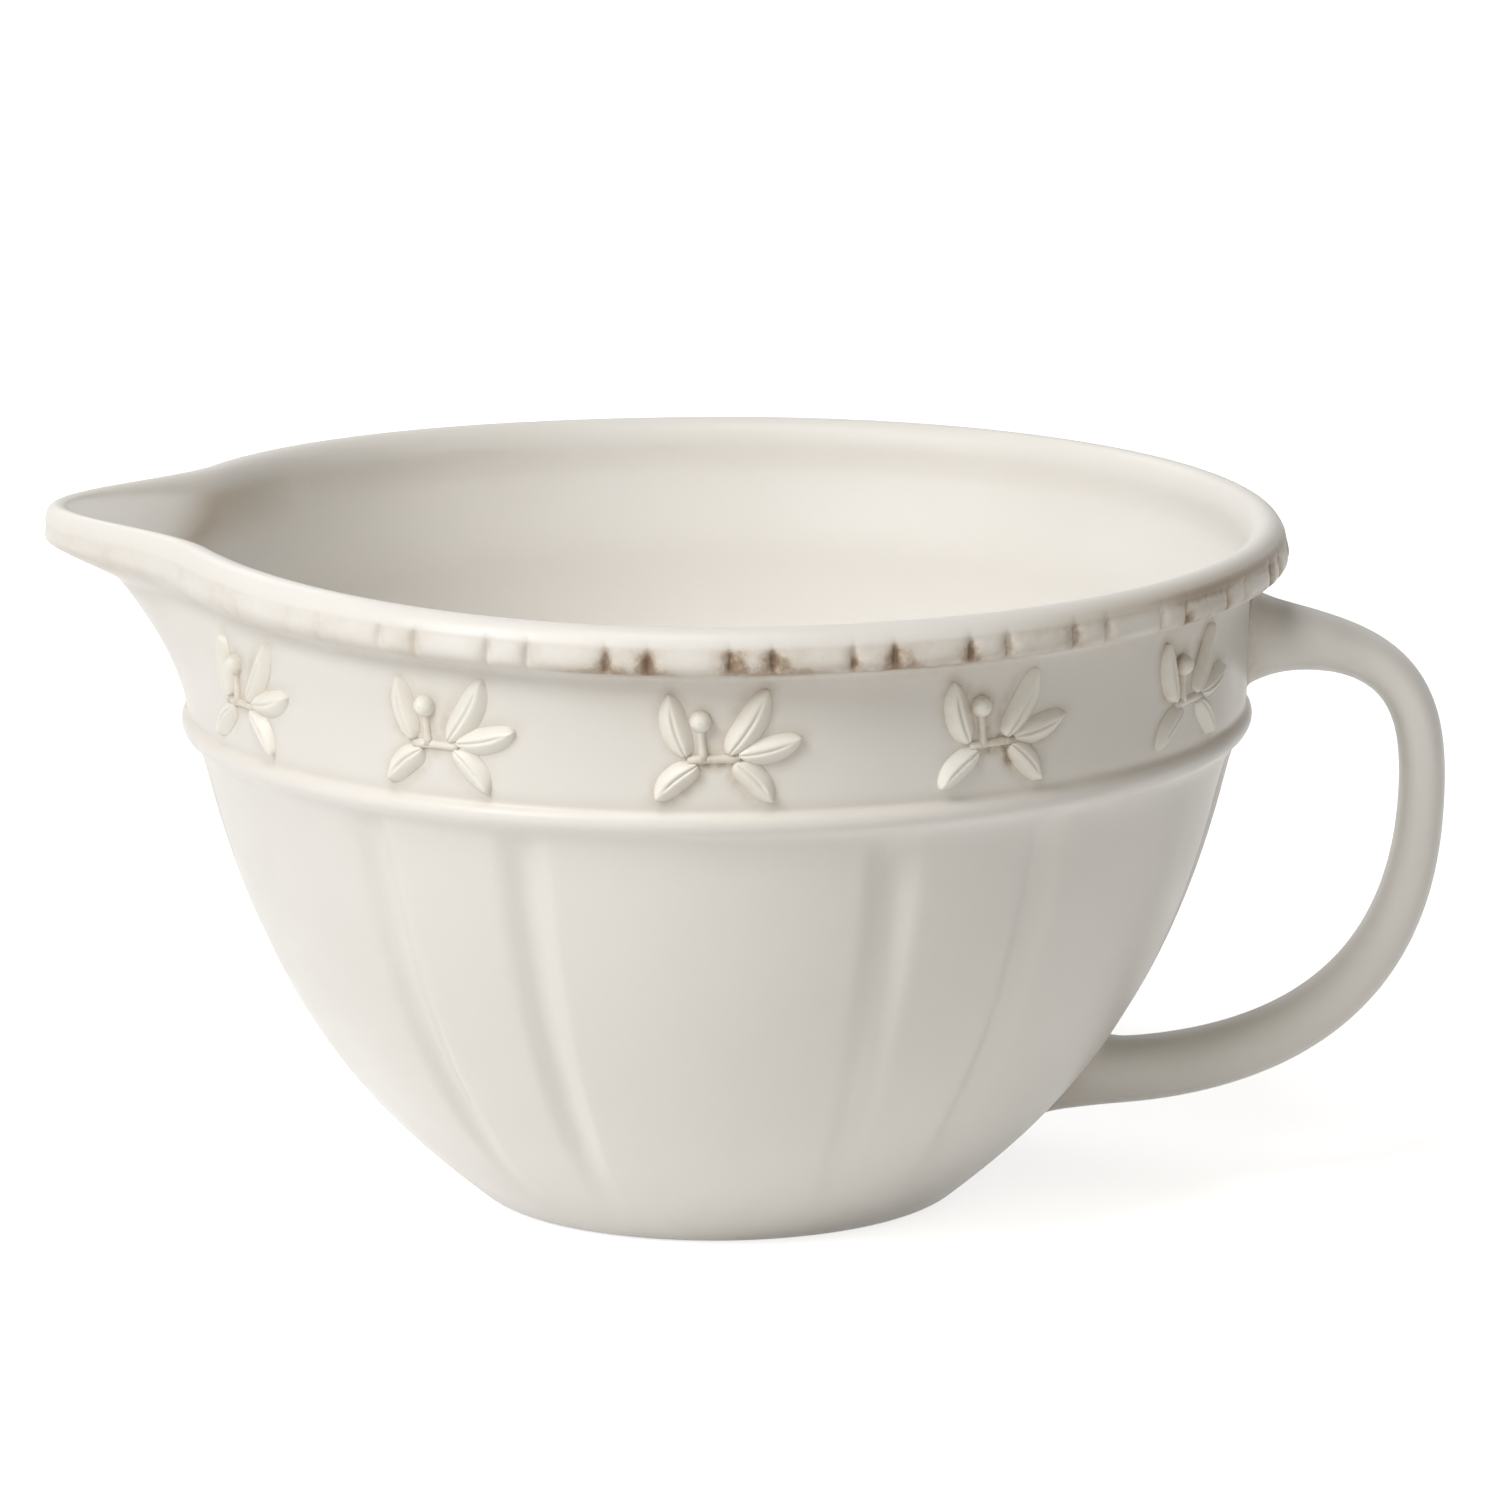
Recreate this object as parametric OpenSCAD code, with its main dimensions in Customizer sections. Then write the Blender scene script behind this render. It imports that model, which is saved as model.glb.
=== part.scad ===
// Batter bowl: a fluted stoneware mixing bowl with a pulled pouring spout, a loop
// handle and ten leaf sprigs on its collar. Millimetres, +Z up. The origin is on the
// bowl's axis in the plane it stands on, the handle points along +X, the spout along -X.

/* [Foot and body] */
// Outer radius of the foot ring
foot_r = 47.4; // [42:0.2:52]
// Width of the foot ring that touches the table
foot_ring_w = 7; // [5:0.5:10]
// Depth of the recess inside the foot ring
foot_recess = 2.5; // [1:0.25:3.5]
// Rounding of the foot ring's outer edge
foot_edge = 0.7; // [0.4:0.1:1.2]
// Radius of the body where it meets the bead
body_top_r = 103.5; // [98:0.5:105]
// Height at which the body meets the bead
body_h = 94.5; // [88:0.5:100]
// Slope of the wall where it leaves the foot, in degrees
foot_lean = 38.5; // [30:0.5:42]
// Reach of that slope along the wall's curve
foot_pull = 29; // [24:0.5:34]
// Slope of the wall where it meets the bead, in degrees
shoulder_lean = 78; // [74:1:82]
// Reach of that slope along the wall's curve
shoulder_pull = 55; // [48:0.5:60]
// Thickness of the wall
wall = 5.5; // [4.5:0.1:6.5]
// Height of the inside floor above the table
floor_h = 7; // [6:0.25:9]

/* [Flutes] */
// Depth of a flute
flute_depth = 1.5; // [0.5:0.1:2]
// Width of a flute as seen from the axis, in degrees
flute_turn = 6.6; // [5:0.2:8]
// Width of a wide panel, from flute to flute, in degrees
panel_turn = 40; // [36:1:42]
// Turn of all the flutes against the handle, in degrees
flutes_turn = -0.8; // [-2:0.2:2]
// Height at which a flute runs out near the foot
flute_low = 6; // [2:0.5:12]
// Height from which a flute has its full depth
flute_full = 44; // [30:1:60]

/* [Bead and collar] */
// Height of the bead between body and collar
bead_h = 5.5; // [4:0.25:7]
// How far the bead swells out
bead_swell = 2.3; // [1.5:0.1:3]
// Radius of the collar just above the bead
collar_r = 105.7; // [105:0.1:107]
// Radius of the collar just under the rim
collar_top_r = 106.5; // [105.5:0.1:108]
// Height of the collar, from the bead to the rim
collar_h = 27; // [25:0.5:30]

/* [Rim] */
// Outer radius of the rolled rim
rim_r = 114; // [112:0.5:116]
// Height of the rolled rim, from the collar to its crest
rim_h = 10; // [8:0.1:11]
// Depth of a notch in the rim's reel-and-bead edging
notch_depth = 1.2; // [0.4:0.1:1.6]
// Width of a notch
notch_w = 2; // [1.4:0.1:2.6]
// Distance between the two notches that part a bead from the reels
notch_gap = 8.2; // [7:0.1:9]
// Turn of the first bead away from the handle, in degrees
edging_turn = 9.4; // [6:0.2:12]

/* [Spout] */
// How far the spout's lip stands out past the round rim
spout_reach = 19.5; // [15:0.5:22]
// How far the spout leans out at the top of the collar
spout_throat = 13.5; // [10:0.5:15]
// How far the rim rises at the spout's lip
spout_rise = 3.6; // [2:0.1:6]
// Turn from the spout's middle at which the rim starts to rise, in degrees
rise_turn = 90; // [60:1:100]
// Half the width of the spout
spout_half_w = 43; // [36:0.5:44]

/* [Handle] */
// Height of the upper root's middle above the collar's foot
handle_top_h = 12.5; // [10:0.5:13]
// Height of the lower root's middle
handle_low_h = 23; // [22:0.5:30]
// Distance from the bowl's axis to the loop's outermost middle
handle_reach = 141; // [136:0.5:150]
// Height of the loop's outermost point
handle_reach_h = 84; // [76:0.5:90]
// Run of the upper arm before it bends
arm_run = 28; // [22:0.5:32]
// Run of the bend above the outermost point
bend_run = 18.5; // [14:0.5:24]
// Run of the bend below the outermost point
drop_run = 24.5; // [20:0.5:30]
// Run of the lower arm before it bends
low_run = 62; // [56:0.5:66]
// Thickness of the loop where it is slimmest
handle_t = 9.2; // [8:0.1:11]
// Width of the loop where it is slimmest
handle_w = 15; // [12:0.25:18]
// How much thicker the upper root is
root_flare_t = 8; // [4:0.5:9]
// How much wider the upper root is
root_flare_w = 6; // [2:0.5:8]
// How much thicker the lower root is
low_flare_t = 4; // [2:0.25:5]
// How much wider the lower root is
low_flare_w = 2; // [1:0.5:3]
// Width of the slip joint between the bowl and what is luted on it
seat_gap = 0.1; // [0.05:0.05:0.3]

/* [Sprigs] */
// Width of a leaf sprig
sprig_w = 31; // [26:0.5:34]
// Height of a leaf sprig
sprig_h = 23; // [19:0.5:24]
// Height of a sprig's relief above the collar
sprig_relief = 2; // [0.8:0.1:2.4]
// Height of a sprig's middle above the collar's foot
sprig_mid_h = 13.5; // [12:0.25:15]
// Width of a leaf at its widest
leaf_w = 5.6; // [4:0.1:6]
// Radius of the bud
bud_r = 2.2; // [1.6:0.1:2.8]
// Half the width of the stem
stem_r = 1; // [0.7:0.05:1.3]

/* [Hidden] */
places = 12;
edging_beads = 30;
full_turn = 360;
collar_low = body_h + bead_h;
collar_top = collar_low + collar_h;
upper_root_z = collar_low + handle_top_h;
sprig_mid_z = collar_low + sprig_mid_h;
overrun = foot_recess;
glaze = [0.93, 0.92, 0.88];
shade = [0.88, 0.84, 0.76];

// Every place on the collar but the handle's and the spout's holds a sprig
sprig_turns = [for (k = [1:places - 1]) if (k != places / 2) k * full_turn / places];

// The names and the order of the sprigs, from the handle round by the back
function sprig_name(i) = str("sprig_", i < 9 ? "0" : "", i + 1);

// Smooth step from 0 to 1
function ease(s) = s <= 0 ? 0 : s >= 1 ? 1 : s * s * (3 - 2 * s);

function mix(a, b, s) = a + (b - a) * s;

// Cubic curve through four control points
function curve(p, t) =
    pow(1 - t, 3) * p[0] + 3 * pow(1 - t, 2) * t * p[1]
    + 3 * (1 - t) * t * t * p[2] + pow(t, 3) * p[3];

// Its direction, of length 1
function heading(p, t) =
    let (
        d = pow(1 - t, 2) * (p[1] - p[0]) + 2 * (1 - t) * t * (p[2] - p[1])
            + t * t * (p[3] - p[2])
    )
    d / norm(d);

// Brings turns into one full turn, in rising order
function wrap(turns) =
    concat(
        [for (a = turns) if (a >= full_turn) a - full_turn],
        [for (a = turns) if (a < full_turn) a]
    );

// Turn halfway between each column of a ring and the next
function middles(turns) = [
    for (i = [0:len(turns) - 1])
        i < len(turns) - 1
            ? (turns[i] + turns[i + 1]) / 2
            : (turns[i] + turns[0] + full_turn) / 2
];

// Triangles between two rings that may have different columns; a and b are the
// numbers of their first points
function stitch(a, b, turns_a, turns_b) =
    let (
        mid_a = middles(turns_a),
        mid_b = middles(turns_b),
        n_a = len(turns_a),
        n_b = len(turns_b)
    )
    concat(
        [
            for (i = [0:n_a - 1])
                let (w = len([for (m = mid_b) if (m < mid_a[i]) 1]) % n_b)
                [a + i, b + w, a + (i + 1) % n_a]
        ],
        [
            for (j = [0:n_b - 1])
                let (v = len([for (m = mid_a) if (m <= mid_b[j]) 1]) % n_a)
                [a + v, b + j, b + (j + 1) % n_b]
        ]
    );

// Triangles between two rings with the same columns
function strip(a, b, n) = [
    for (i = [0:n - 1])
        let (j = (i + 1) % n)
        each [[a + i, b + i, b + j], [a + i, b + j, a + j]]
];

// Number of the first point of ring k
function first(rows, k) = k == 0 ? 0 : first(rows, k - 1) + len(rows[k - 1][0]);

// Closed skin over rings, from one end point to another. A ring is its columns' turns
// and its points; the rings climb and each turns to the left seen from above.
module skin(rows, start, end) {
    last = len(rows) - 1;
    count = first(rows, last + 1);
    firsts = [for (k = [0:last]) first(rows, k)];
    n_first = len(rows[0][0]);
    n_last = len(rows[last][0]);
    sides = [
        for (k = [0:last - 1])
            each (
                rows[k][0] == rows[k + 1][0]
                    ? strip(firsts[k], firsts[k + 1], len(rows[k][0]))
                    : stitch(firsts[k], firsts[k + 1], rows[k][0], rows[k + 1][0])
            )
    ];
    start_fan = [for (i = [0:n_first - 1]) [count, i, (i + 1) % n_first]];
    end_fan = [
        for (i = [0:n_last - 1])
            [count + 1, firsts[last] + (i + 1) % n_last, firsts[last] + i]
    ];
    polyhedron(
        points = concat([for (row = rows) each row[1]], [start, end]),
        faces = concat(start_fan, sides, end_fan),
        convexity = 10
    );
}

// Bowl

// Outside of the wall from the foot to the bead, as radius and height
wall_curve = [
    [foot_r, foot_edge],
    [foot_r, foot_edge] + foot_pull * [cos(foot_lean), sin(foot_lean)],
    [body_top_r, body_h] - shoulder_pull * [cos(shoulder_lean), sin(shoulder_lean)],
    [body_top_r, body_h]
];
wall_steps = 12;
wall_shares = [for (i = [0:wall_steps]) i / wall_steps];

// Radius of the plain wall at a height, as the rings draw it
wall_table = [for (t = wall_shares) let (p = curve(wall_curve, t)) [p[1], p[0]]];

// Inside of the wall: the outside set in by the wall's thickness
function inside(t) =
    let (d = heading(wall_curve, t)) curve(wall_curve, t) + wall * [-d[1], d[0]];

// Inside of the floor, a dish that runs into the wall
floor_share = 0.25;
dish_flat_share = 0.6;
dish_rise_share = 0.2;
dish_end = inside(floor_share);
dish_curve = [
    [0, floor_h],
    [dish_end[0] * dish_flat_share, floor_h],
    dish_end - dish_end[0] * dish_rise_share * heading(wall_curve, floor_share),
    dish_end
];

// How strongly the spout pulls at a distance from its middle line
function pull(y) = abs(y) < spout_half_w ? pow(cos(90 * y / spout_half_w), 2) : 0;

// How strongly the rim rises at a turn
function rise(a) = ease(1 - abs(a - full_turn / 2) / rise_turn);

// A point of the bowl; push and lift are what the spout adds at its middle line
function at(a, r, z, push = 0, lift = 0) =
    let (s = cos(a) < 0 ? pull(r * sin(a)) : 0)
    [r * cos(a) - push * s, r * sin(a), z + lift * rise(a)];

function ring(turns, r, z, push = 0, lift = 0) =
    [turns, [for (a = turns) at(a, r, z, push, lift)]];

// Columns across one flute and across a wide panel between two flutes
flute_shares = [-0.7, -0.5, -0.25, 0, 0.25, 0.5, 0.7];
panel_shares = [-0.25, -0.125, 0, 0.125, 0.25];
sector = 2 * full_turn / places;
flute_turns = [
    for (k = [0:places / 2 - 1])
        let (mid = sector * (k + 0.5) + flutes_turn)
        each [mid - panel_turn / 2, mid + panel_turn / 2]
];
body_turns = [
    for (k = [0:places / 2 - 1])
        each concat(
            [k * sector + flutes_turn],
            [for (s = flute_shares) flute_turns[2 * k] + s * flute_turn],
            [for (s = panel_shares) sector * (k + 0.5) + flutes_turn + s * panel_turn],
            [for (s = flute_shares) flute_turns[2 * k + 1] + s * flute_turn]
        )
];

// Share of a flute's depth at a turn
function flute(a) =
    let (off = min([for (f = flute_turns) abs(a - f)]))
    off < flute_turn / 2 ? pow(cos(full_turn / 2 * off / flute_turn), 2) : 0;

flute_profile = [for (a = body_turns) flute(a)];

function body_ring(t) =
    let (
        p = curve(wall_curve, t),
        depth = flute_depth * ease((p[1] - flute_low) / (flute_full - flute_low))
    )
    [
        body_turns,
        [
            for (i = [0:len(body_turns) - 1])
                at(body_turns[i], p[0] - depth * flute_profile[i], p[1])
        ]
    ];

// Columns of the plain rings, closer together at the spout
plain_step = 5;
spout_turn = 30;
spout_low_turn = full_turn / 2 - spout_turn;
spout_high_turn = full_turn / 2 + spout_turn;
plain_turns = concat(
    [for (a = [0:plain_step:spout_low_turn]) a],
    [for (a = [spout_low_turn + plain_step / 2:plain_step / 2:spout_high_turn]) a],
    [for (a = [spout_high_turn + plain_step:plain_step:full_turn - plain_step]) a]
);
floor_turns = [for (a = [0:2 * plain_step:full_turn - plain_step]) a];

bead_steps = 4;
function bead_place(s) = [
    mix(body_top_r, collar_r, s) + bead_swell * sin(full_turn / 2 * s),
    body_h + bead_h * (1 - cos(full_turn / 2 * s)) / 2
];
function bead_ring(s) = let (p = bead_place(s)) ring(plain_turns, p[0], p[1]);

// The collar leans out under the spout, ever faster towards the rim
collar_steps = 4;
lean_power = 1.6;
function collar_ring(s) =
    ring(
        plain_turns,
        mix(collar_r, collar_top_r, s),
        mix(collar_low, collar_top, s),
        spout_throat * pow(s, lean_power)
    );

// Columns of the rim: seven to each bead with its two notches, and one on the reel.
// Round the spout's tip the edging is plain.
notch_side_shares = [-0.5, 0, 0.5];
rim_plain_shares = [-1 / 3, -1 / 6, 0, 1 / 6, 1 / 3, 1 / 2];
bead_turn = full_turn / edging_beads;
notch_off = asin(notch_gap / 2 / rim_r);
notch_turn = asin(notch_w / rim_r);
tip_turn = 15;
function edging_turns(mid) =
    abs(mid - full_turn / 2) < tip_turn
        ? [for (s = rim_plain_shares) mid + s * bead_turn]
        : concat(
            [for (s = notch_side_shares) mid - notch_off + s * notch_turn],
            [mid],
            [for (s = notch_side_shares) mid + notch_off + s * notch_turn],
            [mid + bead_turn / 2]
        );
rim_turns = wrap([
    for (k = [0:edging_beads - 1])
        each edging_turns(edging_turn + k * bead_turn)
]);

// Share of a notch's depth at a turn; the notches fade along the spout
fade_turn = 38;
function notch(a) =
    let (
        from_bead = (a - edging_turn + full_turn) % bead_turn,
        off = abs(min(from_bead, bead_turn - from_bead) - notch_off),
        from_tip = abs(a - full_turn / 2)
    )
    off < notch_turn / 4 ? ease((from_tip - tip_turn) / (fade_turn - tip_turn)) : 0;

notch_profile = [for (a = rim_turns) notch(a)];

// The rolled rim, from its underside over the edging to the crest, then the lip from the
// crest to the inside. Shares of the overhang, of the height, of the spout's reach and
// rise, and of a notch's depth.
rim_shares = [
    [0.80, 0.10, 0.83, 0.8, 0.2],
    [1.00, 0.27, 1.00, 1.0, 1.0],
    [0.99, 0.46, 1.01, 1.0, 1.0],
    [0.92, 0.68, 1.04, 1.0, 0.2],
    [0.75, 0.90, 1.08, 1.0, 0.0],
    [0.49, 1.00, 1.10, 1.0, 0.0]
];
lip_shares = [
    [0.22, 0.96, 1.15, 1.0],
    [0.00, 0.80, 1.19, 1.0],
    [-0.14, 0.52, 1.22, 1.0]
];

function rim_place(row) = [
    mix(collar_top_r, rim_r, row[0]),
    collar_top + rim_h * row[1],
    spout_reach * row[2],
    spout_rise * row[3]
];

function rim_ring(row) =
    let (p = rim_place(row))
    [
        rim_turns,
        [
            for (i = [0:len(rim_turns) - 1])
                at(rim_turns[i], p[0] - notch_depth * row[4] * notch_profile[i], p[1], p[2], p[3])
        ]
    ];

function lip_ring(row) = let (p = rim_place(row)) ring(plain_turns, p[0], p[1], p[2], p[3]);

// Inside of the collar. It follows the collar at the wall's thickness and turns into the
// lip over the last stretch. At the spout it bends over a sill near the top of the round
// wall, and the pouring channel runs from there to the lip.
channel_steps = 6;
channel_power = 3.6;
channel_low_share = 0.1;
channel_rise_share = 0.3;
channel_low = inside(1);
lip_low = rim_place(lip_shares[len(lip_shares) - 1]);

// How far a value has come from one bound to the other, from 0 to 1
function between(v, low, high) = min(1, max(0, (v - low) / (high - low)));

function channel_ring(s) =
    let (
        z = mix(channel_low[1], lip_low[1], s),
        wall_r = mix(channel_low[0], collar_top_r - wall, between(z, channel_low[1], collar_top)),
        to_lip = ease(between(z, collar_top - wall, lip_low[1])),
        open = between(s, channel_low_share, 1)
    )
    ring(
        plain_turns,
        wall_r + (lip_low[0] - collar_top_r + wall) * to_lip,
        z,
        lip_low[2] * pow(open, channel_power),
        lip_low[3] * ease(between(open, channel_rise_share, 1))
    );

inner_steps = 8;
dish_steps = 4;

module bowl() {
    rows = concat(
        [ring(body_turns, foot_r - foot_edge, 0)],
        [for (t = wall_shares) body_ring(t)],
        [for (i = [1:bead_steps]) bead_ring(i / bead_steps)],
        [for (i = [1:collar_steps]) collar_ring(i / collar_steps)],
        [for (row = rim_shares) rim_ring(row)],
        [for (row = lip_shares) lip_ring(row)],
        [for (i = [channel_steps - 1:-1:0]) channel_ring(i / channel_steps)],
        [
            for (i = [inner_steps - 1:-1:0])
                let (p = inside(mix(floor_share, 1, i / inner_steps)))
                ring(plain_turns, p[0], p[1])
        ],
        [
            for (i = [dish_steps - 1:-1:1])
                let (p = curve(dish_curve, i / dish_steps))
                ring(floor_turns, p[0], p[1])
        ]
    );
    color(glaze)
    difference() {
        skin(rows, [0, 0, 0], [0, 0, floor_h]);
        translate([0, 0, -overrun])
            cylinder(r = foot_r - foot_ring_w, h = foot_recess + overrun, $fn = 96);
    }
}

// Seats of what is luted on the bowl

// The bowl's outside from the foot to the rim's crest: height and radius, and the spout's
// push and lift. The collar's lean under the spout is taken as a straight slope, which
// lies just clear of it.
outside_rows = concat(
    [for (row = wall_table) [row[0], row[1], 0, 0]],
    [for (i = [1:bead_steps]) let (p = bead_place(i / bead_steps)) [p[1], p[0], 0, 0]],
    [[collar_top, collar_top_r, spout_throat, 0]],
    [for (row = rim_shares) let (p = rim_place(row)) [p[1], p[0], p[2], p[3]]]
);
function outside(z, column) = lookup(z, [for (row = outside_rows) [row[0], row[column]]]);
function outside_r(z) = outside(z, 1);

// A place at a height on the slip joint's face, w out from it
function on_seat(a, z, w) = at(a, outside_r(z) + seat_gap + w, z, outside(z, 2), outside(z, 3));

// The part of the bowl round one turn, grown by the slip joint, in the rows that take in
// what lies between two heights
seat_step = plain_step / 2;
seat_turn = 5 * seat_step;
module seat(turn, low, high) {
    crest = len(outside_rows) - 1;
    heights = [for (row = outside_rows) row[0]];
    below = max([for (k = [0:crest - 1]) if (k == 0 || heights[k] < low) k]);
    above = min([for (k = [1:crest]) if (k == crest || heights[k] > high) k]);
    turns = [for (a = [turn - seat_turn:seat_step:turn + seat_turn]) a];
    rows = [
        for (k = [below:above])
            [
                concat(turns, [turn + full_turn / 2]),
                concat([for (a = turns) on_seat(a, heights[k], 0)], [[0, 0, heights[k]]])
            ]
    ];
    skin(
        rows,
        on_seat(turn, heights[below], -foot_r / 2),
        on_seat(turn, heights[above], -foot_r / 2)
    );
}

// Handle

// Middle line of the loop in the XZ plane: out from the collar and back to the body
upper_bend = [
    [collar_r, upper_root_z],
    [collar_r + arm_run, upper_root_z],
    [handle_reach, handle_reach_h + bend_run],
    [handle_reach, handle_reach_h]
];
low_root_r = outside_r(handle_low_h);
lower_bend = [
    [handle_reach, handle_reach_h],
    [handle_reach, handle_reach_h - drop_run],
    [low_root_r + low_run, handle_low_h],
    [low_root_r, handle_low_h]
];
handle_sides = 16;
handle_sectors = [for (i = [0:handle_sides - 1]) i * full_turn / handle_sides];
upper_shares = [0.05, 0.12, 0.21, 0.31, 0.42, 0.53, 0.64, 0.75, 0.87, 1];
lower_shares = [0.09, 0.18, 0.27, 0.36, 0.45, 0.54, 0.63, 0.72, 0.8, 0.87, 0.925];
oval_power = 0.85;
flare_power = 3;
handle_root = handle_t / 8;

// Half the thickness and half the width of the loop, at a share of the upper or lower
// bend counted away from the root
function upper_size(s) = [
    handle_t + root_flare_t * pow(1 - s, 2 * flare_power),
    handle_w + root_flare_w * pow(1 - s, flare_power)
] / 2;
function lower_size(s) = [
    handle_t + low_flare_t * pow(s, flare_power / 2),
    handle_w + low_flare_w * pow(s, flare_power)
] / 2;

// A rounded section: its offsets across the loop's thickness and along Y
function oval(a, size) = [
    size[0] * sign(cos(a)) * pow(abs(cos(a)), oval_power),
    size[1] * sign(sin(a)) * pow(abs(sin(a)), oval_power)
];

function loop_ring(bend, t, size) =
    let (p = curve(bend, t), d = heading(bend, t))
    [
        handle_sectors,
        [
            for (a = handle_sectors)
                let (o = oval(a, size))
                [p[0] - d[1] * o[0], -o[1], p[1] + d[0] * o[0]]
        ]
    ];

// The ring at a root, just under the bowl's face; side is 1 on the collar, -1 on the body
function root_ring(z, size, side) = [
    handle_sectors,
    [
        for (a = handle_sectors)
            let (o = oval(a, size), h = z + side * o[0])
            [sqrt(pow(outside_r(h) - handle_root, 2) - o[1] * o[1]), -o[1], h]
    ]
];

module handle() {
    rows = concat(
        [root_ring(upper_root_z, upper_size(0), 1)],
        [for (t = upper_shares) loop_ring(upper_bend, t, upper_size(t))],
        [for (t = lower_shares) loop_ring(lower_bend, t, lower_size(t))],
        [root_ring(handle_low_h, lower_size(1), -1)]
    );
    color(glaze)
    difference() {
        skin(
            rows,
            [outside_r(upper_root_z) - wall, 0, upper_root_z],
            [outside_r(handle_low_h) - wall, 0, handle_low_h]
        );
        for (root = [[upper_root_z, upper_size(0)[0]], [handle_low_h, lower_size(1)[0]]])
            seat(0, root[0] - 2 * root[1], root[0] + 2 * root[1]);
    }
}

// Sprigs

// Leaves of a sprig: base and tip as shares of its width and height, seen from outside,
// and the share of the leaf width
leaf_shares = [
    [[-0.19, -0.10], [-0.29, 0.43], 1.00],
    [[0.07, -0.08], [0.31, 0.47], 1.05],
    [[0.13, -0.09], [0.52, 0.05], 0.95],
    [[0.11, -0.15], [0.34, -0.49], 0.95],
    [[-0.12, -0.17], [-0.38, -0.47], 0.95]
];

// The stem and the bud's stalk from end to end, and the bud's middle
stem_shares = [
    [[-0.18, -0.13], [0.14, -0.12]],
    [[-0.08, -0.13], [-0.10, 0.17]]
];
bud_shares = [-0.10, 0.20];

// Along a leaf: share of its length, of its width, of the relief on its rib and edge
leaf_section_shares = [
    [0.00, 0.40, 0.50, 0.25],
    [0.28, 0.92, 0.95, 0.35],
    [0.68, 0.95, 1.00, 0.35],
    [1.00, 0.25, 0.45, 0.25]
];
stem_section_shares = [
    [0.00, 1.00, 0.65, 0.30],
    [1.00, 1.00, 0.65, 0.30]
];

// The bud from its root to its crown: share of its radius and of the relief
bud_dome_shares = [[0.95, -0.50], [0.95, 0.30], [0.62, 0.85]];
bud_sides = 8;
root_share = 0.5;
corners = [0, 1, 2, 3, 4];
bud_corners = [for (i = [0:bud_sides - 1]) i * full_turn / bud_sides];

// A place counted from a sprig's middle, x to the right seen from outside
function on_collar(turn, x, y, w) = on_seat(turn + asin(x / collar_r), sprig_mid_z + y, w);

function sprig_place(share) = [share[0] * sprig_w, share[1] * sprig_h];

// A ridge on the collar from one place to another: a leaf or a stem
module ridge(turn, base, tip, width, section_shares) {
    d = (tip - base) / norm(tip - base);
    across = [-d[1], d[0]] * width / 2;
    rows = [
        for (row = section_shares)
            let (
                p = mix(base, tip, row[0]),
                q = across * row[1],
                rib = sprig_relief * row[2],
                edge = sprig_relief * row[3],
                root = -sprig_relief * root_share
            )
            [
                corners,
                [
                    on_collar(turn, p[0] + q[0], p[1] + q[1], root),
                    on_collar(turn, p[0] + q[0], p[1] + q[1], edge),
                    on_collar(turn, p[0], p[1], rib),
                    on_collar(turn, p[0] - q[0], p[1] - q[1], edge),
                    on_collar(turn, p[0] - q[0], p[1] - q[1], root)
                ]
            ]
    ];
    skin(rows, on_collar(turn, base[0], base[1], 0), on_collar(turn, tip[0], tip[1], 0));
}

module bud(turn, place) {
    rows = [
        for (row = bud_dome_shares)
            [
                bud_corners,
                [
                    for (b = bud_corners)
                        on_collar(
                            turn,
                            place[0] + bud_r * row[0] * cos(b),
                            place[1] + bud_r * row[0] * sin(b),
                            sprig_relief * row[1]
                        )
                ]
            ]
    ];
    skin(
        rows,
        on_collar(turn, place[0], place[1], sprig_relief * bud_dome_shares[0][1]),
        on_collar(turn, place[0], place[1], sprig_relief)
    );
}

module sprig(turn) {
    color(shade)
    difference() {
        union() {
            for (row = leaf_shares)
                ridge(
                    turn,
                    sprig_place(row[0]),
                    sprig_place(row[1]),
                    leaf_w * row[2],
                    leaf_section_shares
                );
            for (row = stem_shares)
                ridge(
                    turn,
                    sprig_place(row[0]),
                    sprig_place(row[1]),
                    2 * stem_r,
                    stem_section_shares
                );
            bud(turn, sprig_place(bud_shares));
        }
        seat(turn, sprig_mid_z - sprig_h / 2, sprig_mid_z + sprig_h / 2);
    }
}

bowl();
handle();
for (i = [0:len(sprig_turns) - 1])
    sprig(sprig_turns[i]);
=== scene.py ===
import bpy
import math
import numpy as np
from mathutils import Matrix, Vector


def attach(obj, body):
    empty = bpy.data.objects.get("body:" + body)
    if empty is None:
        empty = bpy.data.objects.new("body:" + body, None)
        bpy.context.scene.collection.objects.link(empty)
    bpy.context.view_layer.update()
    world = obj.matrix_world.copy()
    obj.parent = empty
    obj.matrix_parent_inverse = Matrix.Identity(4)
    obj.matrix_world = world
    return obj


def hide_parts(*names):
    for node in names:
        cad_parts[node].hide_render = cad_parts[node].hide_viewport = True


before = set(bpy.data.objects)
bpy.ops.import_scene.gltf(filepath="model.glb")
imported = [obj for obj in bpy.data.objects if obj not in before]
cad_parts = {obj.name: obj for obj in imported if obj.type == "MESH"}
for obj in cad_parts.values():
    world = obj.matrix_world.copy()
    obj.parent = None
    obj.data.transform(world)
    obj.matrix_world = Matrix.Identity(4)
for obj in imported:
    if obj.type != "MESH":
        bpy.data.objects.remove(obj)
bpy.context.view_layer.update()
mm = 0.001
print("packed bowl loaded, nodes:", len(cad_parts))

# Shapes are worked out in millimetres and degrees, and turned into metres where a mesh
# is made. Turns go round the bowl from the handle at 0 to the spout at 180.


def ease(s):
    s = np.clip(s, 0, 1)
    return s * s * (3 - 2 * s)


def mix(a, b, s):
    return a + (b - a) * s


def between(v, low, high):
    return np.clip((v - low) / (high - low), 0, 1)


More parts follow.
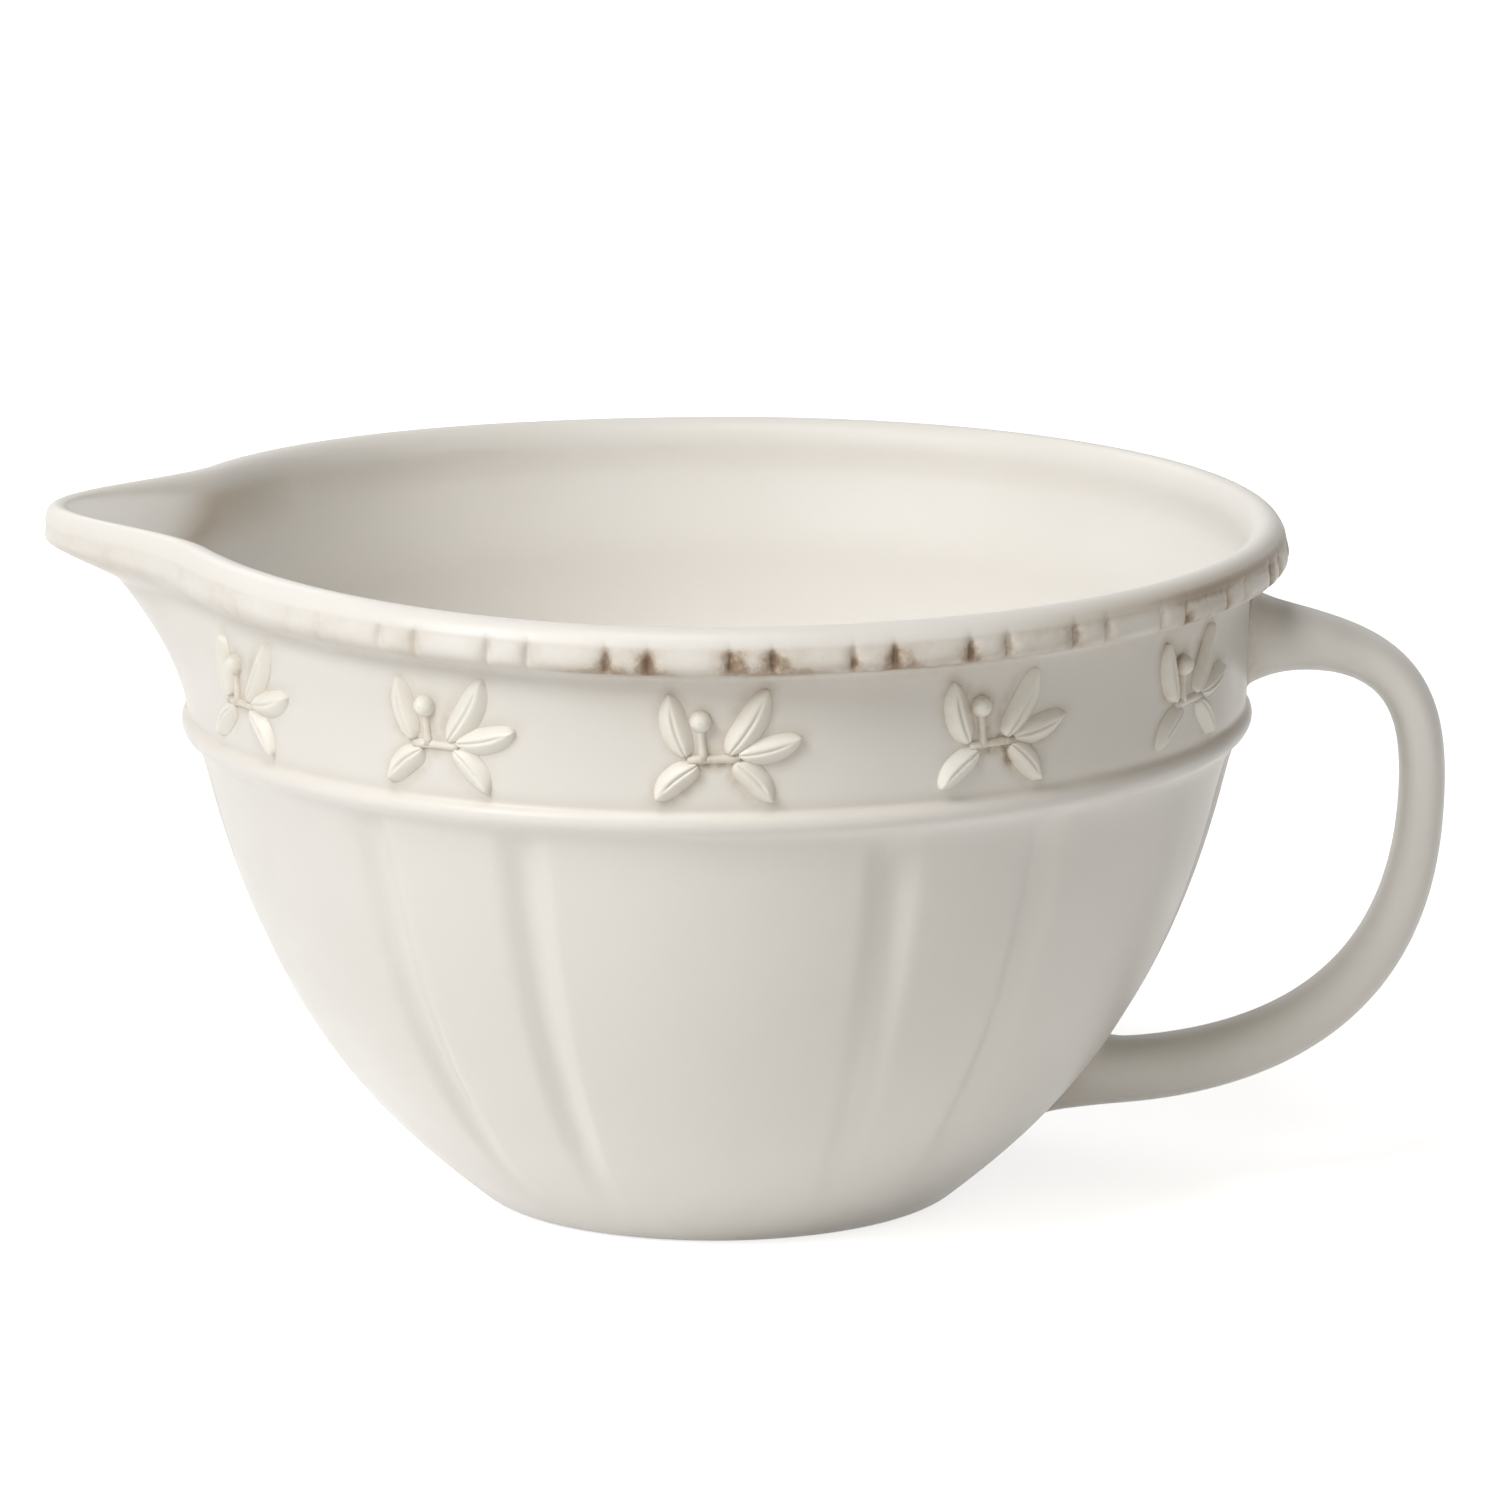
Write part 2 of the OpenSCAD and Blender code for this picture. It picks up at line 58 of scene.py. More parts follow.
# 1 in the middle and nearly nothing two widths off it
def bell(off, width):
    return np.exp(-(off / width) ** 2)


def curvePoint(p, t):
    start, end = (1 - t) ** 3 * p[0], t ** 3 * p[3]
    return start + 3 * (1 - t) ** 2 * t * p[1] + 3 * (1 - t) * t * t * p[2] + end


def curveHeading(p, t):
    way = (1 - t) ** 2 * (p[1] - p[0]) + 2 * (1 - t) * t * (p[2] - p[1]) + t * t * (p[3] - p[2])
    return way / np.linalg.norm(way)


def arm(reach, degrees):
    return reach * np.array([math.cos(math.radians(degrees)), math.sin(math.radians(degrees))])


def arc(centre, radius, start, end, steps):
    return [np.array(centre) + arm(radius, a) for a in np.linspace(start, end, steps)]


# A smooth run through a table's rows, with so many steps from row to row
def smoothRows(table, steps):
    rows = [np.array(r, float) for r in table]
    out = []
    for i in range(len(rows) - 1):
        a, b, c, d = rows[max(i - 1, 0)], rows[i], rows[i + 1], rows[min(i + 2, len(rows) - 1)]
        for k in range(steps):
            t = k / steps
            bend = 2 * a - 5 * b + 4 * c - d + t * (3 * (b - c) + d - a)
            out.append(b + 0.5 * t * (c - a + t * bend))
    return out + [rows[-1]]


# Glaze flows: creases between neighbouring rings are softened
def soften(rings, passes, low, high):
    for k in range(passes):
        rings[low:high] = (rings[low - 1:high - 1] + 2 * rings[low:high] + rings[low + 1:high + 1]) / 4
    return rings


# One closed skin over rings that all have the same columns; rings run counter-clockwise
# as seen from the end they climb to. Points are numbered on from count.
def ringSkin(rings, start, end, count=0):
    rows, columns = rings.shape[:2]
    points = np.concatenate([rings.reshape(-1, 3), [start, end]])
    number = np.arange(rows * columns).reshape(rows, columns) + count
    after = np.roll(number, -1, axis=1)
    sides = np.stack([number[:-1], after[:-1], after[1:], number[1:]], axis=-1).reshape(-1, 4)
    first, last = rows * columns + count, rows * columns + count + 1
    caps = [(first, int(b), int(a)) for a, b in zip(number[0], after[0])]
    caps += [(last, int(a), int(b)) for a, b in zip(number[-1], after[-1])]
    return points, sides.tolist() + caps


# A piece made of one skin, with its stains, its glaze and the nodes that it stands for
def newPiece(name, points, faces, stains, material, nodes):
    mesh = bpy.data.meshes.new(name)
    mesh.from_pydata((np.asarray(points) * mm).tolist(), [], faces)
    for stain, values in stains.items():
        layer = mesh.attributes.new(stain, "FLOAT", "POINT")
        layer.data.foreach_set("value", np.asarray(values, np.float32))
    mesh.polygons.foreach_set("use_smooth", [True] * len(mesh.polygons))
    mesh.materials.append(material)
    piece = bpy.data.objects.new(name, mesh)
    bpy.context.scene.collection.objects.link(piece)
    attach(piece, "root")
    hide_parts(*nodes)


# Glaze: cream all over, lighter inside, with a thin brown wash that was wiped off the high places and
# stays in the notches and round the leaves. The same brown also paints shade in the crease over the bead,
# under the rim and on the spout's sill, and the lighter inside is partly painted light. Spans of noise
# turn into spans of strength.
glaze = {
    "cream": (0.81, 0.785, 0.745), "creamDeep": (0.785, 0.757, 0.71),
    "inside": (0.875, 0.85, 0.81), "clay": (0.52, 0.43, 0.33),
    "tan": (0.43, 0.32, 0.20), "brown": (0.22, 0.14, 0.09),
    "tanShare": 0.85, "brownFrom": 0.5, "brownShare": 0.8,
    "cloudScale": 16, "patchScale": 45, "washScale": 330, "glossScale": 82.5, "rippleScale": 160,
    "cloudDetail": 3, "patchDetail": 1, "washDetail": 3,
    "broadSpan": (0.35, 0.65), "fineSpan": (0.3, 0.7),
    "patchStrength": (0.12, 1.25), "fineStrength": (0.55, 1.3), "fineGrain": 0.6,
    "roughness": (0.33, 0.42), "insideRoughness": 0.5, "clayRoughness": 0.8,
    "ior": 1.5, "gloss": 0.32, "ripple": 0.05,
}
leafGlaze = glaze | {"cream": (0.88, 0.855, 0.79), "creamDeep": (0.84, 0.81, 0.74)}


def link(tree, source, target):
    tree.links.new(source, target)


def noise(tree, place, scale, detail=2.0, grain=0.5):
    node = tree.nodes.new("ShaderNodeTexNoise")
    node.inputs["Scale"].default_value = scale
    node.inputs["Detail"].default_value = detail
    node.inputs["Roughness"].default_value = grain
    link(tree, place, node.inputs["Vector"])
    return node.outputs["Fac"]


def remap(tree, value, span, newSpan):
    node = tree.nodes.new("ShaderNodeMapRange")
    for key, number in zip(("From Min", "From Max", "To Min", "To Max"), span + newSpan):
        node.inputs[key].default_value = number
    link(tree, value, node.inputs["Value"])
    return node.outputs["Result"]


def maths(tree, operation, a, b, clamp=False):
    node = tree.nodes.new("ShaderNodeMath")
    node.operation = operation
    node.use_clamp = clamp
    for target, value in zip(node.inputs, (a, b)):
        if isinstance(value, (int, float)):
            target.default_value = value
        else:
            link(tree, value, target)
    return node.outputs["Value"]


def mixValue(tree, share, a, b):
    node = tree.nodes.new("ShaderNodeMix")
    link(tree, share, node.inputs[0])
    link(tree, a, node.inputs[2])
    node.inputs[3].default_value = b
    return node.outputs[0]


def blendColour(tree, share, a, b):
    node = tree.nodes.new("ShaderNodeMix")
    node.data_type = "RGBA"
    for target, colour in ((node.inputs[6], a), (node.inputs[7], b)):
        if isinstance(colour, tuple):
            target.default_value = (*colour, 1)
        else:
            link(tree, colour, target)
    link(tree, share, node.inputs[0])
    return node.outputs[2]


def attribute(tree, name):
    node = tree.nodes.new("ShaderNodeAttribute")
    node.attribute_name = name
    return node.outputs["Fac"]


# Share of brown on the surface: the uneven wash that the stains hold, and an even film that is partly wash
# and partly painted shade
def washAndShadeShare(tree, place, look):
    # strong on one stretch of the rim and nearly wiped off on the next
    patch = noise(tree, place, look["patchScale"], look["patchDetail"])
    patch = remap(tree, patch, look["broadSpan"], look["patchStrength"])
    fine = noise(tree, place, look["washScale"], look["washDetail"], look["fineGrain"])
    fine = remap(tree, fine, look["fineSpan"], look["fineStrength"])
    uneven = maths(tree, "MULTIPLY", maths(tree, "MULTIPLY", attribute(tree, "wash"), patch), fine)
    return maths(tree, "ADD", uneven, attribute(tree, "filmAndShade"), True)


def glazeMaterial(name, look):
    material = bpy.data.materials.new(name)
    material.use_nodes = True
    tree = material.node_tree
    shader = tree.nodes["Principled BSDF"]
    place = tree.nodes.new("ShaderNodeTexCoord").outputs["Object"]

    cloud = noise(tree, place, look["cloudScale"], look["cloudDetail"])
    cloud = remap(tree, cloud, look["broadSpan"], (0, 1))
    body = blendColour(tree, cloud, look["cream"], look["creamDeep"])
    body = blendColour(tree, attribute(tree, "inner"), body, look["inside"])
    # this share holds the real wash and also the film, which paints shade in places
    wash = washAndShadeShare(tree, place, look)
    tinted = blendColour(tree, maths(tree, "MULTIPLY", wash, look["tanShare"]), body, look["tan"])
    deep = remap(tree, wash, (look["brownFrom"], 1), (0, look["brownShare"]))
    stainedAndShaded = blendColour(tree, deep, tinted, look["brown"])
    bare = attribute(tree, "bare")
    link(tree, blendColour(tree, bare, stainedAndShaded, look["clay"]), shader.inputs["Base Color"])

    rough = remap(tree, noise(tree, place, look["glossScale"]), look["fineSpan"], look["roughness"])
    rough = mixValue(tree, attribute(tree, "softer"), rough, look["insideRoughness"])
    link(tree, mixValue(tree, bare, rough, look["clayRoughness"]), shader.inputs["Roughness"])

    ripple = tree.nodes.new("ShaderNodeBump")
    ripple.inputs["Strength"].default_value = look["ripple"]
    ripple.inputs["Distance"].default_value = mm
    link(tree, noise(tree, place, look["rippleScale"]), ripple.inputs["Height"])
    link(tree, ripple.outputs["Normal"], shader.inputs["Normal"])
    shader.inputs["IOR"].default_value = look["ior"]
    shader.inputs["Specular IOR Level"].default_value = look["gloss"]
    return material


creamGlaze = glazeMaterial("creamGlaze", glaze)
sprigGlaze = glazeMaterial("sprigGlaze", leafGlaze)
print("glaze mixed")

# Bowl: radii from its middle and heights from the ground
bowl = {
    # foot ring and the recess inside it
    "footR": 47.4, "footRingW": 7, "footRound": 8, "footEdge": 0.7,
    "recess": 2.5, "recessFillet": 1.2, "recessShares": (0.1, 0.4, 0.7, 0.9),
    "groundShares": (0.33, 0.66), "filletSteps": 5, "heelBare": (1, 0.8, 0, 0, 0, 0, 0),
    # wall, from the foot to the bead
    "bodyTopR": 103.5, "bodyH": 94.5, "wall": 5.5, "floorH": 7,
    "footLean": 38.5, "footPull": 29, "shoulderLean": 78, "shoulderPull": 55,
    "wallSteps": 39, "tableSteps": 200,
    "fluteDepth": 2.15, "fluteTurn": 7.4, "panelTurn": 41, "flutesTurn": -1.1, "flutePairs": 6,
    "fluteLow": 6, "fluteFull": 35,
    # bead and collar, with a crease between them
    "beadH": 5.5, "beadSwell": 2.3, "beadSteps": 13, "crease": 0.5, "creaseW": 1.2,
    "collarR": 105.7, "collarTopR": 106.5, "collarH": 27, "collarSteps": 45,
    # rim and its edging
    "rimR": 113.97, "rimH": 10, "rimSteps": 4, "edgingBeads": 30, "edgingTurn": 9.4,
    "notchDepth": 1.2, "notchGap": 8.2, "notchW": 0.8, "beadRound": 0.35, "beadFall": 1.4,
    "tipTurn": 30, "fadeTurn": 66,
    "columns": 28, "fineColumns": 600, "crowding": 4, "crowdedTurn": 0.45,
    # spout
    "spoutReach": 19.35, "spoutThroat": 13.5, "spoutRise": 3.6, "riseTurn": 90,
    "spoutHalfW": 43, "leanPower": 1.6, "channelPower": 7, "channelFrom": 0.1,
    "channelFill": 4, "liftFrom": 0.3,
    # inside
    "lipRun": 17, "lipSteps": 30, "lipCrowding": 1.25, "insideSteps": 24,
    "floorShare": 0.25, "dishFlat": 0.6, "dishRise": 0.2, "dishSteps": 12,
    "softPasses": 3, "softBefore": 2, "softAfter": 6,
    # wash: wiped off near the spout; toward the handle, where the bowl is in shade, the film grows as
    # painted shade
    "wipedTurn": 42, "washedTurn": 78, "handleShadeFrom": 110, "handleShadeFull": 152,
    "smearW": 2.8, "smear": 0.46, "core": 0.22, "smearWiped": 0.12, "faceWiped": 0.4,
    "underRimWashAndShade": 0.2, "underRimFrom": 0.9,
    # even film of wash on the collar and at the rim's foot; in the crease it is wash and painted shade,
    # and under the crest and on the spout's sill it is painted shade
    "collarFilm": 0.05, "creaseWashAndShade": 0.16, "handleShadeGain": 2.2,
    "rimShade": 0.75, "rimShadeDown": 2.8, "rimShadeW": 1.7, "lineFilm": 0.22, "lineW": 1.2,
    "sillShade": 0.68, "sillW": 2.8, "sillOut": 5.5, "sillHalfW": 60, "sillPower": 0.5,
    "sillBefore": 4, "sillAfter": 2,
    # glaze inside: lighter, partly cleaner glaze and partly painted light, and softer
    "lighterFrom": 134, "lighterFull": 90, "softerRows": 12,
}
# The rim from the collar over its edging and the crest to the inside of the lip: shares
# of the overhang, the height, the spout's reach and rise, then edging depth and wash
rimRows = [
    [0.00, 0.00, 0.69, 0.0, 0.0, 0.35],
    [0.80, 0.10, 0.83, 0.8, 0.2, 0.40],
    [1.00, 0.27, 1.00, 1.0, 1.0, 0.34],
    [0.99, 0.46, 1.01, 1.0, 1.0, 0.30],
    [0.935, 0.60, 1.03, 1.0, 0.4, 0.34],
    [0.92, 0.68, 1.04, 1.0, 0.1, 0.08],
    [0.75, 0.90, 1.08, 1.0, 0.0, 0.0],
    [0.49, 1.00, 1.10, 1.0, 0.0, 0.0],
    [0.22, 0.96, 1.15, 1.0, 0.0, 0.0],
    [0.00, 0.80, 1.19, 1.0, 0.0, 0.0],
    [-0.14, 0.52, 1.22, 1.0, 0.0, 0.0],
]
foot = np.array([bowl["footR"], bowl["footEdge"]])
shoulder = np.array([bowl["bodyTopR"], bowl["bodyH"]])
wallCurve = [
    foot,
    foot + arm(bowl["footPull"], bowl["footLean"]),
    shoulder - arm(bowl["shoulderPull"], bowl["shoulderLean"]),
    shoulder,
]
collarLow = bowl["bodyH"] + bowl["beadH"]
collarTop = collarLow + bowl["collarH"]
wallTable = np.array([curvePoint(wallCurve, t) for t in np.linspace(0, 1, bowl["tableSteps"])])


def inside(t):
    way = curveHeading(wallCurve, t)
    return curvePoint(wallCurve, t) + bowl["wall"] * np.array([-way[1], way[0]])


# Places on the bowl, with what the spout adds; the spout points along -X
def bowlPoint(turn, r, z, push=0.0, lift=0.0, fill=0.0):
    turn = np.asarray(turn, float)
    a = np.radians(turn)
    y = r * np.sin(a)
    half = bowl["spoutHalfW"]
    pull = np.where((np.cos(a) < 0) & (np.abs(y) < half), np.cos(math.pi / 2 * y / half) ** 2, 0)
    rise = ease(1 - fromSpout(turn) / bowl["riseTurn"])
    return np.stack([r * np.cos(a) - push * pull, y, z + lift * rise + fill * pull], axis=-1)


def outsideR(z):
    onCollar = mix(bowl["collarR"], bowl["collarTopR"], (z - collarLow) / bowl["collarH"])
    return np.where(z > collarLow, onCollar, np.interp(z, wallTable[:, 1], wallTable[:, 0]))


def fromSpout(turn):
    return np.abs(turn - 180)


# 0 round the spout, where the wash was wiped off, and 1 on the rest of the bowl
def washLeft(turn):
    return ease(between(fromSpout(turn), bowl["wipedTurn"], bowl["washedTurn"]))


# Turns of the columns, closest together at the notches
def bowlColumns():
    span = 360 / bowl["edgingBeads"]
    off = math.degrees(math.asin(bowl["notchGap"] / 2 / bowl["rimR"]))
    fineTurns = np.linspace(-span / 2, span / 2, bowl["fineColumns"])
    total = np.cumsum(1 + bowl["crowding"] * bell(np.abs(fineTurns) - off, bowl["crowdedTurn"]))
    even = np.linspace(total[0], total[-1], bowl["columns"], endpoint=False)
    turns = np.interp(even, total, fineTurns)
    return np.concatenate([bowl["edgingTurn"] + k * span + turns for k in range(bowl["edgingBeads"])])


# The flutes stand in pairs, one at each side of a panel
def fluteProfile(turns):
    sector = 360 / bowl["flutePairs"]
    panels = [sector * (k + 0.5) + bowl["flutesTurn"] for k in range(bowl["flutePairs"])]
    middles = [m + side * bowl["panelTurn"] / 2 for m in panels for side in (-1, 1)]
    off = np.min([np.abs((turns - m + 180) % 360 - 180) for m in middles], axis=0)
    return np.where(off < bowl["fluteTurn"] / 2, np.cos(np.pi * off / bowl["fluteTurn"]) ** 2, 0)


# Reel and bead: how deep the edging lies under the rim's face, and the wide smear of wash
# that lies at each notch
def edgingProfile(turns):
    b = bowl
    span = 360 / b["edgingBeads"]
    along = np.radians((turns - b["edgingTurn"] + span / 2) % span - span / 2) * b["rimR"]
    fromNotch = np.abs(along) - b["notchGap"] / 2
    notch = bell(fromNotch, b["notchW"])
    onBead, onReel = (along / b["notchGap"] * 2) ** 2, np.exp(-fromNotch / b["beadFall"])
    bead = b["beadRound"] * np.where(fromNotch < 0, onBead, onReel)
    fade = ease(between(fromSpout(turns), b["tipTurn"], b["fadeTurn"]))
    smear = b["smear"] * bell(fromNotch, b["smearW"]) + b["core"] * notch
    return (b["notchDepth"] * notch + bead) * fade, smear * mix(b["smearWiped"], 1, washLeft(turns))


# One row of the bowl's skin: radius and height, then how much of the spout's push and lift it takes, flute
# depth, edging, wash, even film of wash and painted shade, and bare clay
def row(r, z, push=0.0, lift=0.0, flute=0.0, edge=0.0, wash=0.0, filmAndShade=0.0, bare=0.0):
    return (r, z, push, lift, flute, edge, wash, filmAndShade, bare)


# Rows under the foot, and where on the wall's curve they end
def footRows():
    b = bowl
    recessR = b["footR"] - b["footRingW"]
    edge, fillet = b["footEdge"], b["recessFillet"]
    inFillet = arc((recessR - fillet, b["recess"] - fillet), fillet, 90, 0, b["filletSteps"])
    rows = [row(recessR * s, b["recess"]) for s in b["recessShares"]]
    rows += [row(*p) for p in inFillet]
    rows += [row(*p, bare=1) for p in arc((recessR + edge, edge), edge, 180, 270, b["filletSteps"])]
    # the foot's outer edge is rounded where the wall's line would meet the ground
    lean = math.radians(b["footLean"])
    run = b["footRound"] * math.tan(lean / 2)
    heelR = b["footR"] - edge / math.tan(lean) - run
    heel = arc((heelR, b["footRound"]), b["footRound"], 270, 270 + b["footLean"], len(b["heelBare"]))
    rows += [row(mix(recessR + edge, heelR, s), 0, bare=1) for s in b["groundShares"]]
    rows += [row(*p, bare=share) for p, share in zip(heel, b["heelBare"])]
    return rows, (run - edge / math.sin(lean)) / (3 * b["footPull"])


def wallRows(first):
    b = bowl
    rows = []
    for t in np.linspace(first, 1, b["wallSteps"])[1:]:
        r, z = curvePoint(wallCurve, t)
        rows.append(row(r, z, flute=b["fluteDepth"] * ease(between(z, b["fluteLow"], b["fluteFull"]))))
    for s in np.linspace(0, 1, b["beadSteps"])[1:]:
        r = mix(b["bodyTopR"], b["collarR"], s) + b["beadSwell"] * math.sin(math.pi * s)
        z = b["bodyH"] + b["beadH"] * (1 - math.cos(math.pi * s)) / 2
        # the crease above the bead holds a line of wash that also paints the crease's shade
        crease = bell(z - collarLow, b["creaseW"])
        rows.append(row(r - b["crease"] * crease, z, filmAndShade=b["creaseWashAndShade"] * crease))
    for s in np.linspace(0, 1, b["collarSteps"])[1:-1]:
        r, z = mix(b["collarR"], b["collarTopR"], s), mix(collarLow, collarTop, s)
        crease = bell(z - collarLow, b["creaseW"])
        push = b["spoutThroat"] * s ** b["leanPower"]
        # the top of the collar, under the rim's overhang, takes wash that also paints the shade there
        wash = b["underRimWashAndShade"] * between(s, b["underRimFrom"], 1)
        # even film of wash on the collar, and in the crease a line that is wash and painted shade
        filmAndShade = b["collarFilm"] + b["creaseWashAndShade"] * crease
        rows.append(row(r - b["crease"] * crease, z, push, wash=wash, filmAndShade=filmAndShade))
    for over, height, reach, rise, depth, stain in smoothRows(rimRows, b["rimSteps"]):
        r, z = mix(b["collarTopR"], b["rimR"], over), collarTop + b["rimH"] * height
        rows.append(row(r, z, b["spoutReach"] * reach, b["spoutRise"] * rise, edge=depth, wash=stain))
    return rows


# Rows from the lip down the inside to the middle of the floor
def insideRows(lip):
    b = bowl
    lipR, lipZ, lipPush, lipLift = lip[:4]
    low = inside(1)
    wallTopR = b["collarTopR"] - b["wall"]
    rows = []
    for s in 1 - np.linspace(0, 1, b["lipSteps"])[1:] ** b["lipCrowding"]:
        z = mix(low[1], lipZ, s)
        wallR = mix(low[0], wallTopR, between(z, low[1], collarTop))
        r = wallR + (lipR - wallTopR) * ease(between(z, collarTop - b["lipRun"], lipZ))
        opened = between(s, b["channelFrom"], 1)
        lift = lipLift * ease(between(opened, b["liftFrom"], 1))
        rows.append(row(r, z, lipPush * opened ** b["channelPower"], lift))
    for t in np.linspace(1, b["floorShare"], b["insideSteps"])[1:]:
        rows.append(row(*inside(t)))
    end = inside(b["floorShare"])
    dish = [
        np.array([0, b["floorH"]]),
        np.array([end[0] * b["dishFlat"], b["floorH"]]),
        end - end[0] * b["dishRise"] * curveHeading(wallCurve, b["floorShare"]),
        end,
    ]
    return rows + [row(*curvePoint(dish, t)) for t in np.linspace(1, 0, b["dishSteps"])[1:-1]]


# Painted shade: a film of brown on the sill, where the spout's channel drops into the bowl
def sillShade(rings):
    b = bowl
    x, y, z = np.moveaxis(rings, -1, 0)
    fromSill = np.hypot(x, y) - (b["collarTopR"] - b["wall"]) - b["sillOut"]
    nearSpout = (x < 0) & (np.abs(y) < b["sillHalfW"])
    across = np.where(nearSpout, np.cos(np.pi / 2 * y / b["sillHalfW"]), 0) ** b["sillPower"]
    high = ease(between(z, collarTop - b["wall"], collarTop + b["wall"] / 2))
    return b["sillShade"] * bell(fromSill, b["sillW"]) * across * high


def bowlStains(rows, rings, turns, smears, crestRow, lipRow):
    b = bowl
    z, edge, stain, even, bare = rows[:, 1], rows[:, 5], rows[:, 6], rows[:, 7], rows[:, 8]
    number = np.arange(len(rows))
    outer = number < crestRow
    down = z[crestRow] - z

    wash = np.outer(stain, mix(b["faceWiped"], 1, washLeft(turns))) + np.outer(edge, smears)
    wash = np.maximum(np.clip(wash, 0, 1), leafStain(rings, turns))

    # painted shade: toward the handle, on the bowl's shaded side, the even film grows and a dark band is
    # painted under the crest
    thick = ease(between(fromSpout(turns), b["handleShadeFrom"], b["handleShadeFull"]))
    shadeUnderCrest = bell(down - b["rimShadeDown"], b["rimShadeW"]) * outer
    rimFoot = bell(down - b["rimH"] + b["lineW"], b["lineW"]) * outer
    filmAndShade = np.outer(even, mix(1, b["handleShadeGain"], thick))
    filmAndShade += b["rimShade"] * np.outer(shadeUnderCrest, thick) + b["lineFilm"] * rimFoot[:, None]
    # painted shade on the sill where the channel drops into the bowl
    overLip = ease(between(number, lipRow - b["sillBefore"], lipRow + b["sillAfter"]))
    filmAndShade = np.maximum(filmAndShade, sillShade(rings) * overLip[:, None])

    # inside the glaze is lighter, most of all lower down, partly cleaner glaze and partly painted light
    # against the shade in the bowl, and it is less shiny
    inner = (number > crestRow) * ease(between(z, b["lighterFrom"], b["lighterFull"]))
    softer = ease(between(number, crestRow, crestRow + b["softerRows"]))
    around = np.ones(len(turns))
    stains = {"wash": wash, "filmAndShade": filmAndShade, "bare": np.outer(bare, around)}
    stains |= {"inner": np.outer(inner, around), "softer": np.outer(softer, around)}
    return {name: np.append(s.ravel(), [s[0, 0], s[-1, 0]]) for name, s in stains.items()}


def makeBowl():
    b = bowl
    turns = bowlColumns()
    rows, first = footRows()
    rows += wallRows(first)
    lipRow = len(rows) - 1
    rows = np.array(rows + insideRows(rows[-1]), float)
    r, z, push, lift, flute, edge = rows.T[:6, :, None]      # upright, to meet the turns across
    crestRow = int(np.argmax(z))
    beadRow = int(np.argmax(z >= b["bodyH"]))

    # inside, the spout's channel is shallow: its floor starts just under the lip
    fill = b["channelFill"] * between(z[crestRow] - z, 0, z[crestRow] - z[lipRow])
    fill *= push / push[lipRow] * (np.arange(len(rows)) > crestRow)[:, None]

    edging, smears = edgingProfile(turns)
    dented = r - flute * fluteProfile(turns) - edge * edging
    rings = bowlPoint(turns, dented, z, push, lift, fill)
    rings = soften(rings, b["softPasses"], beadRow - b["softBefore"], lipRow + b["softAfter"])
    stains = bowlStains(rows, rings, turns, smears, crestRow, lipRow)
    points, faces = ringSkin(rings, (0, 0, b["recess"]), (0, 0, b["floorH"]))
    newPiece("fluted_bowl", points, faces, stains, creamGlaze, ["bowl"])


# Sprigs: leaves, stems and a bud, drawn flat from the sprig's middle and laid on the collar
sprig = {
    "w": 31, "h": 23, "relief": 2, "midH": 113.5, "places": 12, "sink": 0.6,
    # leaves, from side to side over the top and back under the collar's face
    "leafW": 5.6, "bow": 0.05, "steps": 22, "leafFrom": 0.01, "leafTo": 0.99,
    "over": (1, 0.97, 0.88, 0.74, 0.57, 0.4, 0.26, 0.16, 0.08), "under": (-0.6, -0.2, 0.2, 0.6),
    "tipHeight": 0.45, "crownPower": 1.5, "edgeH": 0.05, "vein": 0.3, "veinW": 0.13, "veinRun": 2.5,
    "outlineFrom": 0.02, "outlineTo": 0.99, "basePower": 0.85, "sidePower": 2.6, "endPower": 0.6,
    # stems and bud
    "stemR": 1, "stemAround": 12, "stemSteps": 6, "stemWaist": 0.25, "stemRise": 1.15,
    "budR": 2.2, "budAround": 18, "budSteps": 8, "budTop": 80, "budRise": 1.2,
    # wash
    "core": (0.02, -0.12), "coreR": 8, "coreStain": 0.95, "edgeStain": 0.3, "wiped": 0.45,
    "stainReach": 1.6, "stainTurn": 12, "stainMargin": 1,
    "midStain": 0.2, "midPower": 3, "veinStain": 0.7, "stemStain": 0.8,
    "budSeatStain": 0.7, "budStain": 0.6, "budStainPower": 4, "endStain": 0.6,
}
# base, tip, share of the leaf width, and which way the leaf bows
leaves = [
    [(-0.19, -0.10), (-0.29, 0.43), 1.00, 1],
    [(0.07, -0.08), (0.31, 0.47), 1.05, -1],
    [(0.13, -0.09), (0.52, 0.05), 0.95, -1],
    [(0.11, -0.15), (0.34, -0.49), 0.95, 1],
    [(-0.12, -0.17), (-0.38, -0.47), 0.95, -1],
]
stems = [[(-0.18, -0.13), (0.14, -0.12)], [(-0.08, -0.13), (-0.10, 0.17)]]
budPlace = (-0.10, 0.20)
# none stands behind the handle or under the spout
sprigPlaces = [k for k in range(1, sprig["places"]) if k != sprig["places"] // 2]
sprigTurns = [k * 360 / sprig["places"] for k in sprigPlaces]


def sprigPlace(share):
    return np.array([share[0] * sprig["w"], share[1] * sprig["h"]])


# A flat place of a sprig, laid on the collar at a turn and raised by w
def onCollar(turn, flat, w):
    z = sprig["midH"] + flat[..., 1]
    s = (z - collarLow) / bowl["collarH"]
    a = turn + np.degrees(np.arcsin(flat[..., 0] / bowl["collarR"]))
    r = mix(bowl["collarR"], bowl["collarTopR"], s) + w
    return bowlPoint(a, r, z, bowl["spoutThroat"] * np.clip(s, 0, 1) ** bowl["leanPower"])


# The wash lies thickest where the leaves meet and thins out along them
def washNear(flat):
    fromCore = np.linalg.norm(flat - sprigPlace(sprig["core"]), axis=-1)
    return mix(sprig["edgeStain"], sprig["coreStain"], bell(fromCore, sprig["coreR"]))


